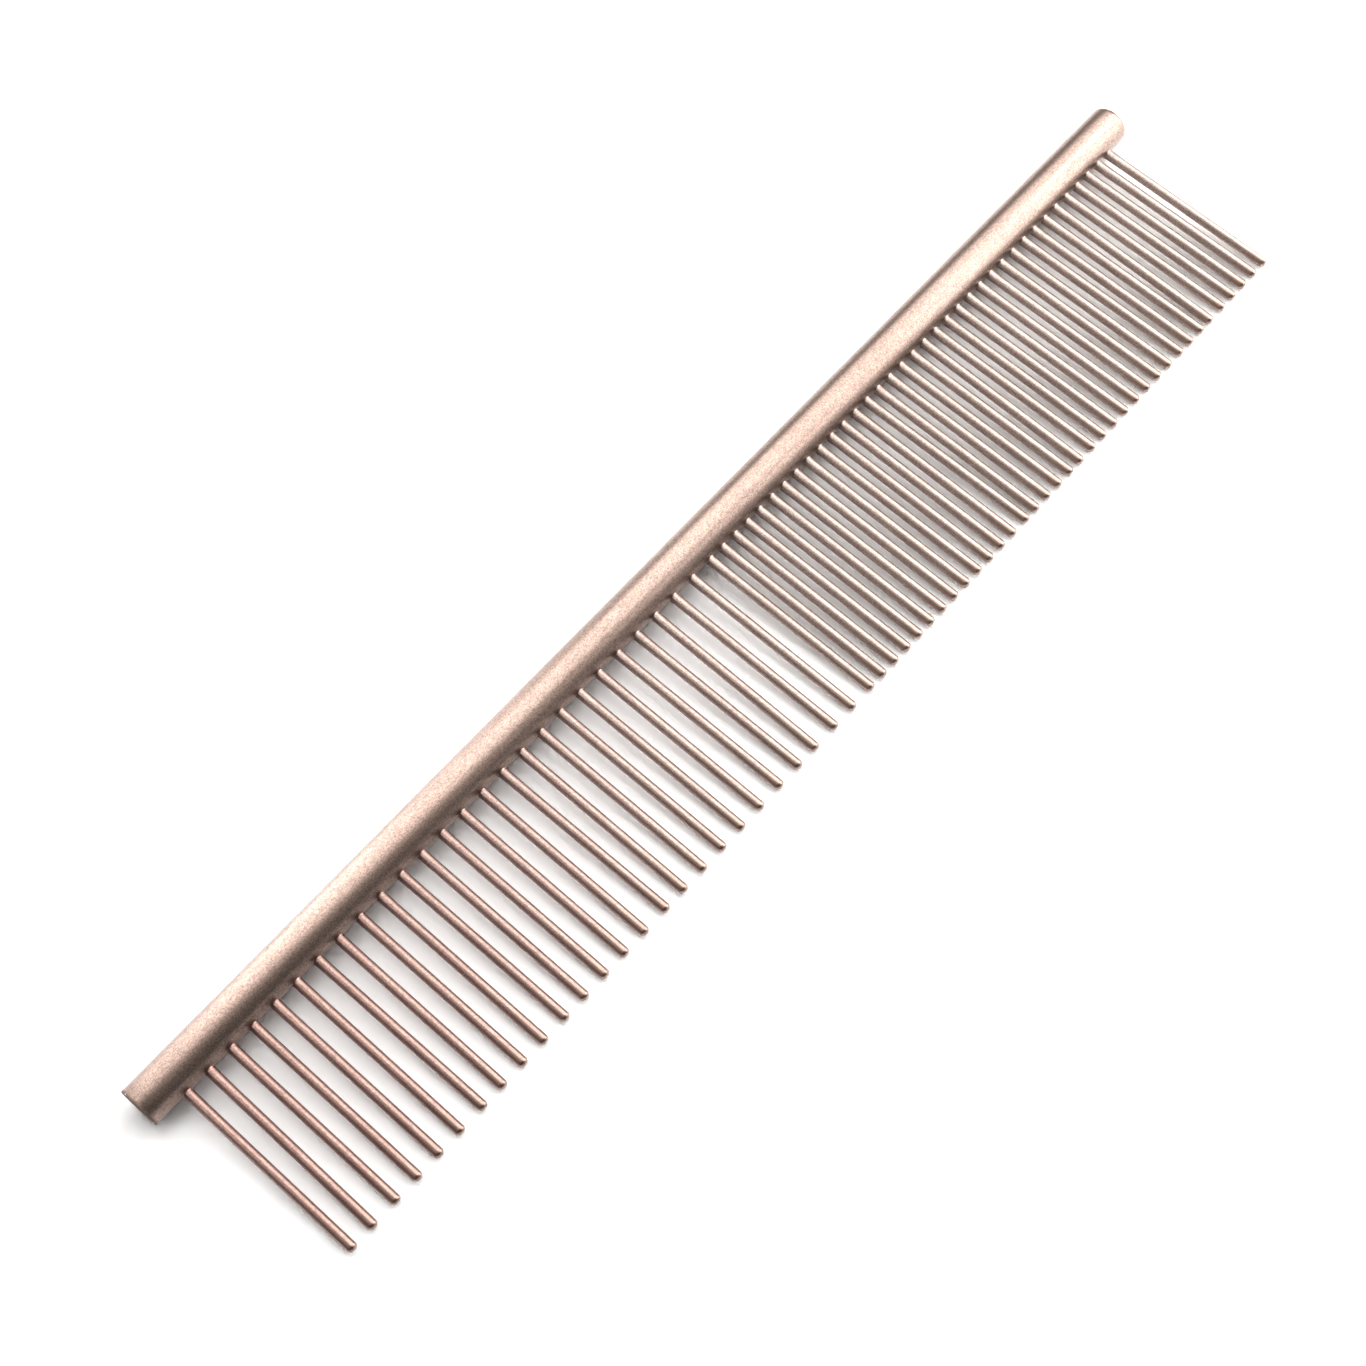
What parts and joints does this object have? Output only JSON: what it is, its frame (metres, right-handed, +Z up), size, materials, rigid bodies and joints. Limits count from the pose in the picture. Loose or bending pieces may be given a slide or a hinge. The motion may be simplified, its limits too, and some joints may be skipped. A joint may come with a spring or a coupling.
{
  "type": "grooming comb",
  "caption": "Double-pitch steel grooming comb: a round spine bar with a row of round-tipped straight pins, wide spacing at one end and close spacing at the other, rose-gold coat.",
  "frame": {"origin": "on the surface the comb lies on, at the middle of the box that bounds the comb's length and width", "axes": "+X along the spine towards the fine end, the pins point towards -Y and slope down to rest on their tips, +Z up from the surface"},
  "size_m": [0.197, 0.0346, 0.006],
  "materials": {
    "spine_coat": "satin rose-gold metallic coat over steel, fine metallic grain",
    "pin_coat": "satin rose-gold metallic coat over polished steel, smooth rounded tips"
  },
  "bodies": {
    "root": {"coarse_pin_01": "pin_coat", "coarse_pin_02": "pin_coat", "coarse_pin_03": "pin_coat", "coarse_pin_04": "pin_coat", "coarse_pin_05": "pin_coat", "coarse_pin_06": "pin_coat", "coarse_pin_07": "pin_coat", "coarse_pin_08": "pin_coat", "coarse_pin_09": "pin_coat", "coarse_pin_10": "pin_coat", "coarse_pin_11": "pin_coat", "coarse_pin_12": "pin_coat", "coarse_pin_13": "pin_coat", "coarse_pin_14": "pin_coat", "coarse_pin_15": "pin_coat", "coarse_pin_16": "pin_coat", "coarse_pin_17": "pin_coat", "coarse_pin_18": "pin_coat", "coarse_pin_19": "pin_coat", "coarse_pin_20": "pin_coat", "coarse_pin_21": "pin_coat", "coarse_pin_22": "pin_coat", "coarse_pin_23": "pin_coat", "coarse_pin_24": "pin_coat", "coarse_pin_25": "pin_coat", "coarse_pin_26": "pin_coat", "coarse_pin_27": "pin_coat", "fine_pin_01": "pin_coat", "fine_pin_02": "pin_coat", "fine_pin_03": "pin_coat", "fine_pin_04": "pin_coat", "fine_pin_05": "pin_coat", "fine_pin_06": "pin_coat", "fine_pin_07": "pin_coat", "fine_pin_08": "pin_coat", "fine_pin_09": "pin_coat", "fine_pin_10": "pin_coat", "fine_pin_11": "pin_coat", "fine_pin_12": "pin_coat", "fine_pin_13": "pin_coat", "fine_pin_14": "pin_coat", "fine_pin_15": "pin_coat", "fine_pin_16": "pin_coat", "fine_pin_17": "pin_coat", "fine_pin_18": "pin_coat", "fine_pin_19": "pin_coat", "fine_pin_20": "pin_coat", "fine_pin_21": "pin_coat", "fine_pin_22": "pin_coat", "fine_pin_23": "pin_coat", "fine_pin_24": "pin_coat", "fine_pin_25": "pin_coat", "fine_pin_26": "pin_coat", "fine_pin_27": "pin_coat", "fine_pin_28": "pin_coat", "fine_pin_29": "pin_coat", "fine_pins_30_31": "pin_coat", "fine_pins_32_33": "pin_coat", "fine_pins_34_35": "pin_coat", "spine": "spine_coat"}
  },
  "joints": []
}
